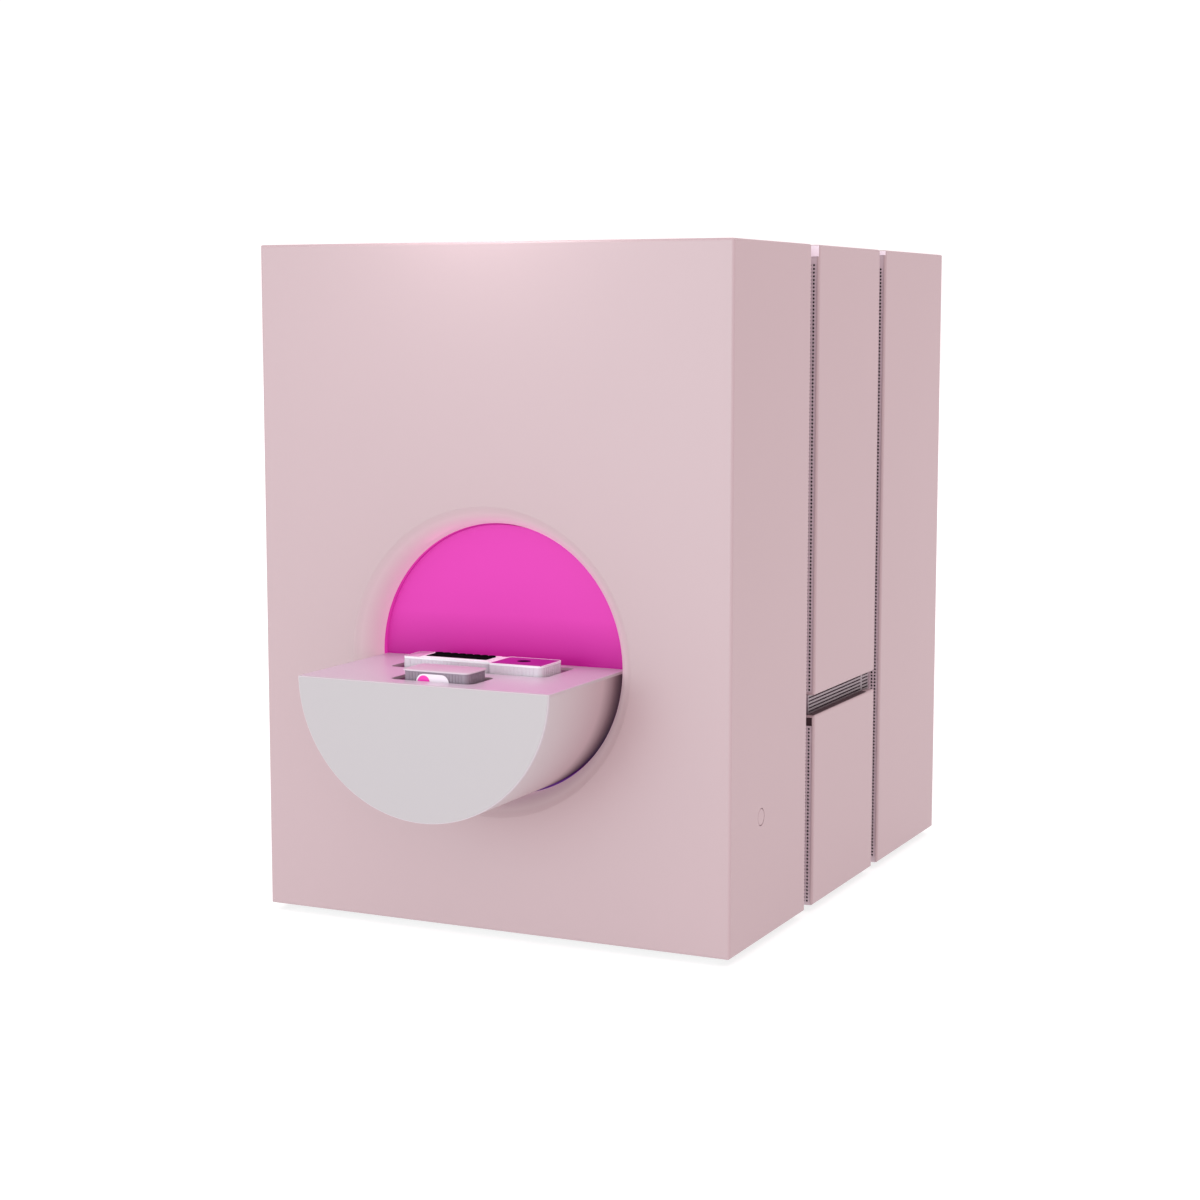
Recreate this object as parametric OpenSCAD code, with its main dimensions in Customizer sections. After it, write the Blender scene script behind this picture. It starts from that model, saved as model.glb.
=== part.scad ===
// Benchtop DNA sequencer: a plain cabinet with a flared round opening and a half-round drawer.
// Millimetres, +Z up, +X to the right seen from the front, +Y to the back.
// The origin is on the bench, under the middle of the whole outline with the drawer out.

/* [Cabinet] */
// Width of the cabinet
cabinet_w = 558; // [540:1:600]
// Depth of the cabinet, without the drawer
cabinet_d = 699; // [690:1:740]
// Height of the cabinet above its feet
cabinet_h = 735; // [715:1:780]
// Height of the feet
foot_h = 8; // [6:1:12]
// Thickness of the moulded covers
cover_t = 3; // [2:0.5:4]
// Radius of the cabinet's outer edges
edge_r = 3; // [1:0.5:6]

/* [Grooves and vents] */
// Depth of the front section, from the front to the first groove
front_d = 222.5; // [220:0.5:230]
// Width of the first groove
groove_a = 24.5; // [20:0.5:28]
// Depth of the middle section, between the grooves
middle_d = 206.5; // [200:0.5:210]
// Width of the second groove
groove_b = 21.5; // [18:0.5:25]
// How far the groove floors lie in from the covers
groove_depth = 13.7; // [12:0.1:16]
// Diameter of one vent hole
vent_hole_d = 2.6; // [1.6:0.1:2.8]
// Spacing of the vent holes, up and across
vent_pitch = 4; // [3.5:0.1:5]

/* [Side slot] */
// Height of the slot's lower edge above the cabinet's bottom
slot_low = 217; // [205:1:217]
// Height of the slot
slot_h = 22; // [18:1:26]
// Number of louvre fins in the slot
fins = 4; // [3:1:6]

/* [Opening and drawer] */
// Height of the opening's centre above the cabinet's bottom
bay_z = 291.4; // [280:0.5:295]
// Radius of the opening's throat
throat_r = 147; // [147:0.5:150]
// How far the flare spreads outside the throat
flare_w = 20; // [12:1:24]
// How deep the flare is
flare_d = 33; // [25:1:36]
// Radius of the half-round drawer
drawer_r = 145; // [143:0.5:145]
// How far the drawer stands out when it is open
travel = 145.7; // [120:0.1:150]
// How far the deck lies below the opening's centre
deck_drop = 2.6; // [2:0.1:6]

/* [Consumables] */
// How far the consumables stand up out of the deck
proud = 11; // [6:0.5:14]
// Depth of the pockets in the deck
pocket_depth = 34; // [30:1:40]
// Spacing of the wells in the reagent cartridge
well_pitch = 9; // [9:0.5:10]

/* [Power button] */
// Diameter of the power button's cap
button_d = 18; // [12:0.5:20]
// How far the button is pressed
button_travel = 1.5; // [1:0.1:2.5]

/* [Hidden] */

fine = 96;   // facets on the large round forms
round = 32;  // facets on the small ones
gap = 0.3;   // clearance between pieces that move past each other

// Planes that several pieces share
x_side = cabinet_w / 2;
y_mid = travel / 2;
y_front = y_mid - cabinet_d / 2;
y_back = y_mid + cabinet_d / 2;
z_bottom = foot_h;
z_top = foot_h + cabinet_h;
y_groove_a = y_front + front_d;
y_middle = y_groove_a + groove_a;
y_groove_b = y_middle + middle_d;
y_rear = y_groove_b + groove_b;
x_floor = x_side - groove_depth;
z_floor = z_top - groove_depth;
z_slot = z_bottom + slot_low;
z_upper = z_slot + slot_h;
z_bay = z_bottom + bay_z;
z_deck = z_bay - deck_drop;

// Sheet metal and its places
sheet = 2;
base_t = 4;
z_base = z_bottom + 0.5;
z_floor_in = z_base + base_t;
x_chassis = x_floor - sheet;
y_chassis = y_front + 40;
y_panel = y_back - 5;

// The drawer, drawn open
y_drawer = y_front - travel;
drawer_front_t = 4;
shell_t = 3;
deck_t = 3;
y_bulkhead = y_front + flare_d + 4;
bulkhead_t = 5;
y_bay_end = y_bulkhead + travel + bulkhead_t + 4;

// A box from one corner to the opposite one
module block(low, high) translate(low) cube(high - low);

// A rectangle with round corners
module round_rect(w, h, r) {
    translate([r, 0]) square([w - 2 * r, h]);
    translate([0, r]) square([w, h - 2 * r]);
    for (x = [r, w - r], y = [r, h - r]) translate([x, y]) circle(r = r, $fn = round);
}

// A box with round upright edges
module round_block(low, high, r) {
    size = high - low;
    translate(low) linear_extrude(size.z) round_rect(size.x, size.y, r);
}

// A box with all of its edges rounded
module soft_block(low, high, r) {
    size = high - low;
    translate(low) intersection() {
        linear_extrude(size.z) round_rect(size.x, size.y, r);
        translate([0, size.y, 0]) rotate([90, 0, 0])
            linear_extrude(size.y) round_rect(size.x, size.z, r);
        rotate([90, 0, 90]) linear_extrude(size.x) round_rect(size.y, size.z, r);
    }
}

// A rod or a hole along X, Y or Z, from a point
module rod_x(from, r, length) translate(from) rotate([0, 90, 0]) cylinder(r = r, h = length, $fn = round);
module rod_y(from, r, length) translate(from) rotate([-90, 0, 0]) cylinder(r = r, h = length, $fn = round);
module rod_z(from, r, length) translate(from) cylinder(r = r, h = length, $fn = round);

// A flat outline in the XZ plane, thickened towards the back from y
module plate_y(y, t) translate([0, y + t, 0]) rotate([90, 0, 0]) linear_extrude(t) children();

// The lower half of a disc, as far up as z
module half_disc(r, z) {
    intersection() {
        translate([0, z_bay]) circle(r = r, $fn = fine);
        translate([-r - 1, z_bay - r - 1]) square([2 * r + 2, z - z_bay + r + 1]);
    }
}

// Centre of the power button, on the right side
button_y = y_front + 86.5;
button_z = z_bottom + 133.6;

// ---- Covers ----

module front_cover() {
    inner = x_side - cover_t;
    color("thistle") difference() {
        soft_block([-x_side, y_front, z_bottom], [x_side, y_groove_a, z_top], edge_r);
        block([-inner, y_front + cover_t, z_bottom - 1], [inner, y_groove_a - cover_t, z_top - cover_t]);
        block([-x_floor, y_groove_a - cover_t - 1, z_bottom - 1], [x_floor, y_groove_a + 1, z_floor]);
        translate([0, y_front - 1, z_bay]) rotate([-90, 0, 0])
            cylinder(r = throat_r + flare_w, h = cover_t + 2, $fn = fine);
        rod_x([inner - 1, button_y, button_z], button_d / 2 + 0.5, cover_t + 2);
    }
}

// The flared ring round the opening: a quarter of an ellipse from the front into the throat
module opening_collar() {
    outer = throat_r + flare_w;
    flange = 8;
    steps = 16;
    lean = 12;
    curve = [for (i = [steps:-1:0]) let (t = lean + (90 - lean) * i / steps)
        [throat_r + flare_w * (1 - sin(t)) / (1 - sin(lean)),
         flare_d * (1 - cos(t) / cos(lean))]];
    color("thistle") translate([0, y_front, z_bay]) rotate([-90, 0, 0])
        rotate_extrude($fn = fine) polygon(concat([
            [outer, cover_t], [outer + flange, cover_t], [outer + flange, 2 * cover_t],
            [outer, 2 * cover_t], [throat_r + 4, flare_d]], curve));
}

// The wrap between the grooves: the top and the upper sides, with windows for the vent strips
module middle_cover() {
    inner = x_side - cover_t;
    color("thistle") difference() {
        soft_block([-x_side, y_middle, z_upper], [x_side, y_groove_b, z_top], edge_r);
        block([-inner, y_middle + cover_t, z_upper + cover_t],
              [inner, y_groove_b - cover_t, z_top - cover_t]);
        block([-x_floor, y_middle - 1, z_upper - 1], [x_floor, y_groove_b + 1, z_floor]);
        for (low = [-inner, x_floor])
            block([low, y_middle - 1, z_upper + cover_t],
                  [low + inner - x_floor, y_middle + cover_t + 1, z_top - cover_t]);
    }
}

// The wrap behind the second groove
module rear_cover() {
    inner = x_side - cover_t;
    color("thistle") difference() {
        soft_block([-x_side, y_rear, z_bottom], [x_side, y_back, z_top], edge_r);
        block([-inner, y_rear + cover_t, z_bottom - 1], [inner, y_back + 1, z_top - cover_t]);
        block([-x_floor, y_rear - 1, z_bottom - 1], [x_floor, y_rear + cover_t + 1, z_floor]);
        for (low = [-inner, x_floor])
            block([low, y_rear - 1, z_bottom - 1],
                  [low + inner - x_floor, y_rear + cover_t + 1, z_top - cover_t]);
    }
}

// One side's panel under the slot, with a ledge along its top and a web behind the vent's end
module lower_panel(side) {
    color("thistle") mirror([side < 0 ? 1 : 0, 0, 0]) difference() {
        soft_block([x_floor, y_middle, z_bottom], [x_side, y_groove_b, z_slot], edge_r);
        difference() {
            block([x_floor - 1, y_middle - 1, z_bottom - 1],
                  [x_side - cover_t, y_groove_b - cover_t, z_slot - cover_t]);
            block([x_floor - 1, y_middle + 5, z_slot - 16], [x_side, y_middle + 7, z_slot]);
        }
    }
}

// A strip with two columns of round holes, in a groove's forward-facing wall
module vent_strip(side, y, low, high, first, last) {
    strip_t = 1.5;
    set_back = 0.8;
    rows = floor((high - low - first - last) / vent_pitch);
    width = groove_depth - cover_t;
    color("gray") mirror([side < 0 ? 1 : 0, 0, 0]) translate([x_floor, 0, low])
        plate_y(y + set_back, strip_t) difference() {
            square([width, high - low]);
            for (row = [0 : rows], column = [0, 1])
                translate([width + cover_t - 7 - vent_pitch * column, first + vent_pitch * row])
                    circle(d = vent_hole_d, $fn = 16);
        }
}

module vent_front_upper(side)
    vent_strip(side, y_middle, z_upper + cover_t, z_top - cover_t, 3, 17);
module vent_front_lower(side)
    vent_strip(side, y_middle, z_bottom, z_slot - 12.6, 4.9, 3);
module vent_rear(side)
    vent_strip(side, y_rear, z_bottom, z_top - cover_t, 8.8, 17);

// The insert in the slot on one side: a raised frame with a divider, crossed by level fins
module louvre(side) {
    raise = 6;
    rim = 2.4;
    post = 5.4;
    end = 1.5;
    play = 0.2;
    gap_h = (slot_h - 2 * rim) / (fins + 1 + 1.26 * fins);
    fin_t = 1.26 * gap_h;
    y_post = y_groove_b - 25 - post / 2;
    color("dimgray") mirror([side < 0 ? 1 : 0, 0, 0]) {
        difference() {
            block([x_floor, y_middle + play, z_slot], [x_floor + raise, y_groove_b - play, z_upper]);
            for (span = [[y_middle + play + end, y_post], [y_post + post, y_groove_b - play - end]])
                block([x_floor - 1, span[0], z_slot + rim],
                      [x_floor + raise + 1, span[1], z_upper - rim]);
        }
        for (i = [1 : fins])
            block([x_floor, y_middle + 1, z_slot + rim + gap_h * i + fin_t * (i - 1)],
                  [x_floor + raise, y_groove_b - 1, z_slot + rim + (gap_h + fin_t) * i]);
    }
}

// ---- Frame ----

// Centres of the fans, and the places of the rear connectors
fan_x = 110;
fan_z = z_bottom + 560;
fan_size = 120;
fan_t = 25;
inlet_x = -200;
inlet_z = z_bottom + 96;
inlet_w = 48;
inlet_h = 58;
port_x = 130;
port_z = z_bottom + 110;
port_w = 130;
port_h = 40;
screw_r = 1.5;

function screw_places() = [for (x = [-1, 1], z = [40, 250, 480, 700])
    [x * (x_side - cover_t - 9), z_bottom + z]];

// The welded sheet-metal wrap that the covers hang on; the grooves' floors are its outside
module chassis() {
    air_h = 90;
    color("gainsboro") difference() {
        block([-x_floor, y_chassis, z_floor_in], [x_floor, y_panel, z_floor]);
        block([-x_chassis, y_chassis - 1, z_floor_in - 1], [x_chassis, y_panel + 1, z_floor - sheet]);
        block([-x_side, y_middle + 2, z_slot + 3], [x_side, y_groove_b - 2, z_upper - 3]);
        for (z = [z_bottom + 60, z_bottom + 300, z_bottom + 430, z_bottom + 560])
            block([-x_side, y_middle + 30, z], [x_side, y_groove_b - 30, z + air_h]);
        rod_x([x_chassis - 1, button_y, button_z], button_d / 2 + 5, sheet + 2);
    }
}

module base_plate() {
    color("gainsboro") difference() {
        block([-x_floor, y_front + 6, z_base], [x_floor, y_panel, z_floor_in]);
        for (x = [-1, 1], y = [-1, 1])
            rod_z([x * foot_x, y_mid + y * foot_y, z_base - 1], foot_stem_r + 0.1, base_t + 2);
    }
}

module back_panel() {
    half = x_side - cover_t;
    low = z_base;
    color("gainsboro") plate_y(y_panel, sheet) difference() {
        translate([-half, low]) square([2 * half, z_top - cover_t - low]);
        for (side = [-1, 1]) translate([side * fan_x, fan_z]) fan_grille();
        translate([inlet_x - inlet_w / 2, inlet_z - inlet_h / 2]) square([inlet_w, inlet_h]);
        translate([port_x - port_w / 2, port_z - port_h / 2]) square([port_w, port_h]);
        for (place = screw_places()) translate(place) circle(r = screw_r + 0.1, $fn = round);
    }
}

// Ring slots in front of a fan, held by four spokes
module fan_grille() {
    slot = 5;
    ring_pitch = 8;
    spoke = 4;
    difference() {
        for (r = [18 : ring_pitch : 50]) difference() {
            circle(r = r + slot, $fn = 64);
            circle(r = r, $fn = 64);
        }
        for (turn = [45, 135]) rotate(turn) square([130, spoke], center = true);
    }
}

module back_screws() {
    head_r = 3.2;
    head_t = 1.6;
    shank = 8;
    color("silver") for (place = screw_places()) {
        rod_y([place[0], y_panel - shank + sheet, place[1]], screw_r, shank);
        difference() {
            rod_y([place[0], y_panel + sheet, place[1]], head_r, head_t);
            translate([place[0], y_panel + sheet + head_t, place[1]])
                cube([4.2, 1.2, 0.9], center = true);
        }
    }
}

foot_x = 200;
foot_y = 270;
foot_stem_r = 5;

// A rubber pad on a stem that stands in the base plate
module foot(side, end) {
    pad_r = 18;
    color("darkslategray") {
        translate([side * foot_x, y_mid + end * foot_y, 0]) rotate_extrude($fn = 48)
            polygon([[0, 0], [pad_r - 1, 0], [pad_r, 1], [pad_r - 2.5, z_base - 1],
                     [pad_r - 3.5, z_base], [foot_stem_r, z_base],
                     [foot_stem_r, z_floor_in], [0, z_floor_in]]);
    }
}

// ---- Power button ----

cap_t = 11;
module power_button() {
    edge = 0.6;
    color("thistle") difference() {
        union() {
            rod_x([x_side - cap_t, button_y, button_z], button_d / 2, cap_t - edge);
            translate([x_side - edge, button_y, button_z]) rotate([0, 90, 0])
                cylinder(r1 = button_d / 2, r2 = button_d / 2 - edge, h = edge, $fn = round);
        }
        rod_x([x_side - cap_t - 1, button_y, button_z], button_d / 2 - 2.5, cap_t - 1.5);
    }
}

// The housing that the cap slides in, seated on the inside of the cover
module button_switch() {
    inner = x_side - cover_t;
    depth = cap_t - cover_t + button_travel + 4.5;
    end_t = 4;
    fit = 0.05;
    color("dimgray") difference() {
        union() {
            rod_x([inner - 2, button_y, button_z], button_d / 2 + 7, 2);
            rod_x([inner - depth - end_t, button_y, button_z], button_d / 2 + 3, depth + end_t);
        }
        rod_x([inner - depth, button_y, button_z], button_d / 2 + fit, depth + 1);
    }
}

// ---- Opening and drawer ----

// The tube that the drawer runs into, with a flange at its front for the light guide
ring_t = 5;
liner_t = 2.5;
y_liner = y_front + flare_d + ring_t;
module bay_liner() {
    flange = 9;
    color("whitesmoke") difference() {
        translate([0, y_liner, z_bay]) rotate([-90, 0, 0]) difference() {
            union() {
                cylinder(r = throat_r + liner_t, h = y_bay_end - y_liner, $fn = fine);
                cylinder(r = throat_r + flange, h = 2, $fn = fine);
            }
            translate([0, 0, -1]) cylinder(r = throat_r, h = y_bay_end - y_liner + 2, $fn = fine);
        }
        block([-lens_window / 2, y_liner + 6, z_bay + throat_r - 20],
              [lens_window / 2, lens_y + lens_window / 2, z_bay + throat_r + 9]);
    }
}

// Two saddles on the base plate that hold the tube
module bay_stands() {
    color("gainsboro") for (y = [y_liner + 12, y_bay_end - 20]) plate_y(y, 8) difference() {
        translate([-90, z_floor_in]) square([180, z_bay - throat_r + 30 - z_floor_in]);
        translate([0, z_bay]) circle(r = throat_r + liner_t, $fn = fine);
        translate([-60, z_floor_in - 1]) square([120, 90]);
    }
}

// The light guide behind the throat, set back so that only its glow shows
module light_ring() {
    inner = throat_r + 3;
    color("magenta") translate([0, y_front + flare_d, z_bay]) rotate([-90, 0, 0]) difference() {
        cylinder(r = inner + 6, h = ring_t, $fn = fine);
        translate([0, 0, -1]) cylinder(r = inner, h = ring_t + 2, $fn = fine);
    }
}

// The pockets in the deck: left, front, right and back edges, measured from x = 0 and the front
front_pocket_x = [-50, 47];
front_pocket_y = [y_front - 122, y_front - 71];
rear_pocket_x = [-93, 93];
rear_pocket_y = [y_front - 48.5, y_front + 24];
pocket_r = 8;
pocket_wall = 2;
z_pocket = z_deck - pocket_depth;

module drawer_shell() {
    color("thistle") plate_y(y_drawer + drawer_front_t, y_bulkhead - y_drawer - drawer_front_t)
        difference() {
            half_disc(drawer_r, z_deck - deck_t);
            half_disc(drawer_r - shell_t, z_deck);
        }
}

// The flat front of the drawer, with a fine chamfer round its curve and along its top edge
module drawer_front() {
    bevel = 1.2;
    low = z_bay - drawer_r - 1;
    color("whitesmoke") intersection() {
        translate([0, y_drawer, z_bay]) rotate([-90, 0, 0]) union() {
            cylinder(r1 = drawer_r - bevel, r2 = drawer_r, h = bevel, $fn = fine);
            translate([0, 0, bevel]) cylinder(r = drawer_r, h = drawer_front_t - bevel, $fn = fine);
        }
        translate([-drawer_r - 1, 0, 0]) rotate([90, 0, 90]) linear_extrude(2 * drawer_r + 2)
            polygon([[y_drawer - 1, low], [y_drawer + drawer_front_t + 1, low],
                     [y_drawer + drawer_front_t + 1, z_deck], [y_drawer + bevel, z_deck],
                     [y_drawer - 1, z_deck - bevel - 1]]);
    }
}

module deck_plate() {
    color("plum") difference() {
        plate_y(y_drawer + drawer_front_t, y_bulkhead - y_drawer - drawer_front_t) difference() {
            half_disc(drawer_r, z_deck);
            translate([-drawer_r - 1, z_bay - drawer_r - 1])
                square([2 * drawer_r + 2, z_deck - deck_t - z_bay + drawer_r + 1]);
        }
        round_block([front_pocket_x[0], front_pocket_y[0], z_deck - deck_t - 1],
                    [front_pocket_x[1], front_pocket_y[1], z_deck + 1], pocket_r);
        round_block([rear_pocket_x[0], rear_pocket_y[0], z_deck - deck_t - 1],
                    [rear_pocket_x[1], rear_pocket_y[1], z_deck + 1], pocket_r);
    }
}

// A cup under one of the deck's cut-outs
module pocket(x, y) {
    wall = pocket_wall;
    color("plum") difference() {
        round_block([x[0] - wall, y[0] - wall, z_pocket - wall],
                    [x[1] + wall, y[1] + wall, z_deck - deck_t], pocket_r + wall);
        round_block([x[0], y[0], z_pocket], [x[1], y[1], z_deck], pocket_r);
    }
}

// The disc at the drawer's back end, which closes the opening behind the deck
module bulkhead() {
    color("mediumvioletred") plate_y(y_bulkhead, bulkhead_t)
        translate([0, z_bay]) circle(r = drawer_r, $fn = fine);
}

// ---- Consumables ----

tray_x = [-36, 42];
tray_y = [y_front - 120.5, y_front - 77];
cartridge_x = [-80, 24, 87.5];
well_side_y = [y_front - 42, y_front - 2];
film_side_y = [y_front - 47, y_front + 3];
z_proud = z_deck + proud;

// Small upright ribs along the two long sides of a box
module ribs(x, y, low, high, pitch) {
    rib = 0.5;
    for (at = [x[0] + 8 : pitch : x[1] - 8], wall = [y[0], y[1]])
        block([at, wall - rib, low], [at + 1.2, wall + rib, high]);
}

lid_t = 1.6;
module cell_tray() {
    color("lightgray") {
        round_block([tray_x[0] + 1, tray_y[0] + 1, z_pocket],
                    [tray_x[1] - 1, tray_y[1] - 1, z_proud - lid_t], 5);
        ribs(tray_x, [tray_y[0] + 1, tray_y[1] - 1], z_pocket, z_proud - lid_t, 7);
    }
}

module cell_lid() {
    color("pink") difference() {
        round_block([tray_x[0], tray_y[0], z_proud - lid_t], [tray_x[1], tray_y[1], z_proud], 6);
        round_block([tray_x[0] + 8, tray_y[0] + 8, z_proud - lid_t - 1],
                    [tray_x[1] - 8, tray_y[1] - 8, z_proud - lid_t + 0.6], 3);
    }
}

// The cartridge's outline: its right end, under the film, is deeper than its well side
module cartridge_block(low, high) {
    round_block([cartridge_x[0], well_side_y[0], low], [cartridge_x[1] + 6, well_side_y[1], high], 5);
    round_block([cartridge_x[1], film_side_y[0], low], [cartridge_x[2], film_side_y[1], high], 6);
}

// Clear ribbed body of the reagent cartridge
cap_top = 2;
module cartridge_body() {
    color("white") {
        difference() {
            cartridge_block(z_pocket, z_proud - cap_top);
            round_block([block_x[0], block_y[0], z_proud - well_h],
                        [block_x[1], block_y[1], z_proud], 1);
        }
        ribs([cartridge_x[0], cartridge_x[1]], well_side_y, z_pocket, z_proud - cap_top, 9);
        ribs([cartridge_x[1], cartridge_x[2]], film_side_y, z_pocket, z_proud - cap_top, 9);
    }
}

wells = 8;
block_x = [-56, -56 + wells * well_pitch];
block_y = [y_front - 34, y_front - 8];
well_h = 20;
film_x = 27;

// The cartridge's top, with a raised white frame round the wells and a recess for the film
module cartridge_frame() {
    ring = 4;
    lip = 0.6;
    color("white") difference() {
        union() {
            cartridge_block(z_proud - cap_top, z_proud);
            round_block([block_x[0] - ring, block_y[0] - ring, z_proud - cap_top],
                        [block_x[1] + ring, block_y[1] + ring, z_proud + lip], 2);
        }
        round_block([block_x[0], block_y[0], z_proud - cap_top - 1],
                    [block_x[1], block_y[1], z_proud + 1], 1);
        block([film_x, film_side_y[0] + 1.5, z_proud - 0.6],
              [cartridge_x[2] - 1.5, film_side_y[1] - 1.5, z_proud + 1]);
    }
}

// Eight black wells in a row, with a scalloped back edge
module well_block() {
    wall = 1;
    color("black") difference() {
        round_block([block_x[0], block_y[0], z_proud - well_h],
                    [block_x[1], block_y[1], z_proud], 1);
        for (i = [0 : wells - 1])
            translate([block_x[0] + (i + 0.5) * well_pitch, 0, z_proud - well_h + 3]) {
                round_block([-well_pitch / 2 + wall, block_y[0] + wall, 0],
                            [well_pitch / 2 - wall, block_y[1] - 6, well_h], 2);
                rod_z([0, block_y[1] - 5, 0], well_pitch / 2 - wall, well_h);
            }
    }
}

// The film over the right end, with a round access hole
module cartridge_film() {
    color("deeppink") difference() {
        round_block([film_x, film_side_y[0] + 1.5, z_proud - 0.6],
                    [cartridge_x[2] - 1.5, film_side_y[1] - 1.5, z_proud - 0.1], 4);
        rod_z([53, y_front - 19, z_proud - 1], 7.5, 2);
    }
}

// ---- Drawer slides and drive ----

rail_x = 95;
rail_z = z_bay - 40;
rail_w = 8;
rail_h = 20;
rail_l = 252;
outer_wall = 3;
y_rail = y_bulkhead + bulkhead_t;
y_outer = y_bay_end + 2;
outer_l = 250;
z_shelf = rail_z - rail_h / 2 - gap - outer_wall;
shelf_t = 3;

// The rack and pinion: module, teeth and the line where they mesh
tooth_m = 2;
pinion_teeth = 20;
tooth_pitch = tooth_m * PI;
rack_teeth = 40;
pinion_r = tooth_m * pinion_teeth / 2;
mesh_z = z_bay - 10;
mesh_slack = 0.2;
pressure = 20;
y_pinion = y_rail + 29 * tooth_pitch;
z_pinion = mesh_z - pinion_r;
rack_w = 9;
shaft_r = 2.5;
x_motor = 14;

module inner_rails() {
    color("silver") for (x = [-rail_x, rail_x])
        block([x - rail_w / 2, y_rail, rail_z - rail_h / 2],
              [x + rail_w / 2, y_rail + rail_l, rail_z + rail_h / 2]);
}

// Channels that the inner rails run in, open towards the middle
module outer_rails() {
    lip = 5;
    half_w = rail_w / 2 + gap;
    half_h = rail_h / 2 + gap;
    color("silver") for (side = [0, 1]) mirror([side, 0, 0]) difference() {
        block([rail_x - half_w - outer_wall, y_outer, rail_z - half_h - outer_wall],
              [rail_x + half_w + outer_wall, y_outer + outer_l, rail_z + half_h + outer_wall]);
        block([rail_x - half_w, y_outer - 1, rail_z - half_h],
              [rail_x + half_w, y_outer + outer_l + 1, rail_z + half_h]);
        block([rail_x - half_w - outer_wall - 1, y_outer - 1, rail_z - half_h + lip],
              [rail_x, y_outer + outer_l + 1, rail_z + half_h - lip]);
    }
}

// The bent shelf that carries the outer rails, with the motor's upright
module drawer_shelf() {
    half = rail_x + 16;
    upright_t = 2;
    color("gainsboro") {
        block([-half, y_outer, z_shelf - shelf_t], [half, y_outer + outer_l, z_shelf]);
        for (x = [-half, half - shelf_t]) difference() {
            block([x, y_outer, z_floor_in], [x + shelf_t, y_outer + outer_l, z_shelf - shelf_t]);
            block([x - 1, y_outer + 30, z_floor_in + 30],
                  [x + shelf_t + 1, y_outer + outer_l - 30, z_shelf - 40]);
        }
        difference() {
            block([x_motor - upright_t, y_pinion - 24, z_shelf], [x_motor, y_pinion + 24, z_pinion + 18]);
            rod_x([x_motor - upright_t - 1, y_pinion, z_pinion], 11.3, upright_t + 2);
        }
    }
}

// Straight-sided teeth along the underside of a bar
module drive_rack() {
    half = tooth_pitch / 4 - mesh_slack / 2;
    tip = half - tooth_m * tan(pressure);
    root = half + 1.25 * tooth_m * tan(pressure);
    bar = 8;
    teeth = [for (i = [0 : rack_teeth - 1]) let (at = (i + 0.5) * tooth_pitch) each
        [[at - root, 1.25 * tooth_m], [at - tip, -tooth_m], [at + tip, -tooth_m],
         [at + root, 1.25 * tooth_m]]];
    length = rack_teeth * tooth_pitch;
    color("silver") translate([-rack_w / 2, y_rail, mesh_z]) rotate([90, 0, 90])
        linear_extrude(rack_w) polygon(concat([[0, 1.25 * tooth_m]], teeth,
            [[length, 1.25 * tooth_m], [length, bar], [0, bar]]));
}

// Involute teeth, made from the base circle
function involute(angle) = tan(angle) * 180 / PI - angle;
function flank(r) = 90 / pinion_teeth - mesh_slack / pinion_r * 45 / PI
    + involute(pressure) - involute(acos(min(1, pinion_r * cos(pressure) / r)));

module drive_pinion() {
    tip_r = pinion_r + tooth_m;
    root_r = pinion_r - 1.25 * tooth_m;
    base_r = pinion_r * cos(pressure);
    steps = 5;
    radii = [for (i = [0 : steps]) base_r + (tip_r - base_r) * i / steps];
    outline = [for (i = [0 : pinion_teeth - 1]) let (mid = 90 + i * 360 / pinion_teeth) each
        concat([[root_r, mid - flank(base_r)]],
               [for (r = radii) [r, mid - flank(r)]],
               [for (j = [steps : -1 : 0]) [radii[j], mid + flank(radii[j])]],
               [[root_r, mid + flank(base_r)]])];
    width = 8;
    color("dimgray") translate([0, y_pinion, z_pinion]) rotate([90, 0, 90]) {
        translate([0, 0, -width / 2]) linear_extrude(width)
            polygon([for (p = outline) [p[0] * cos(p[1]), p[0] * sin(p[1])]]);
        translate([0, 0, -width / 2]) cylinder(r = 7, h = width + 4, $fn = round);
        translate([0, 0, -width / 2 - 2]) cylinder(r = shaft_r, h = x_motor + 20, $fn = round);
    }
}

module drive_motor() {
    size = 42;
    length = 40;
    fit = 0.05;
    color("darkslategray") difference() {
        union() {
            translate([x_motor, y_pinion - size / 2, z_pinion - size / 2]) rotate([90, 0, 90])
                linear_extrude(length) difference() {
                    square(size);
                    for (x = [0, size], y = [0, size]) translate([x, y]) rotate(45)
                        square(6, center = true);
                }
            rod_x([x_motor - 2, y_pinion, z_pinion], 11, 3);
        }
        rod_x([x_motor - 3, y_pinion, z_pinion], shaft_r + fit, 24);
    }
}

// ---- Modules inside ----

lens_window = 60;
lens_r = 18;
lens_y = y_front + 66;
lens_fit = 0.05;
focus_travel = 4;
z_optics = z_bay + throat_r + 22;
optics_t = 4;
z_optics_top = z_optics + optics_t;

module optics_shelf() {
    color("gainsboro") difference() {
        block([-x_chassis, y_chassis, z_optics], [x_chassis, y_groove_b, z_optics_top]);
        rod_z([0, lens_y, z_optics - 1], lens_r + 4, optics_t + 2);
    }
}

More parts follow.
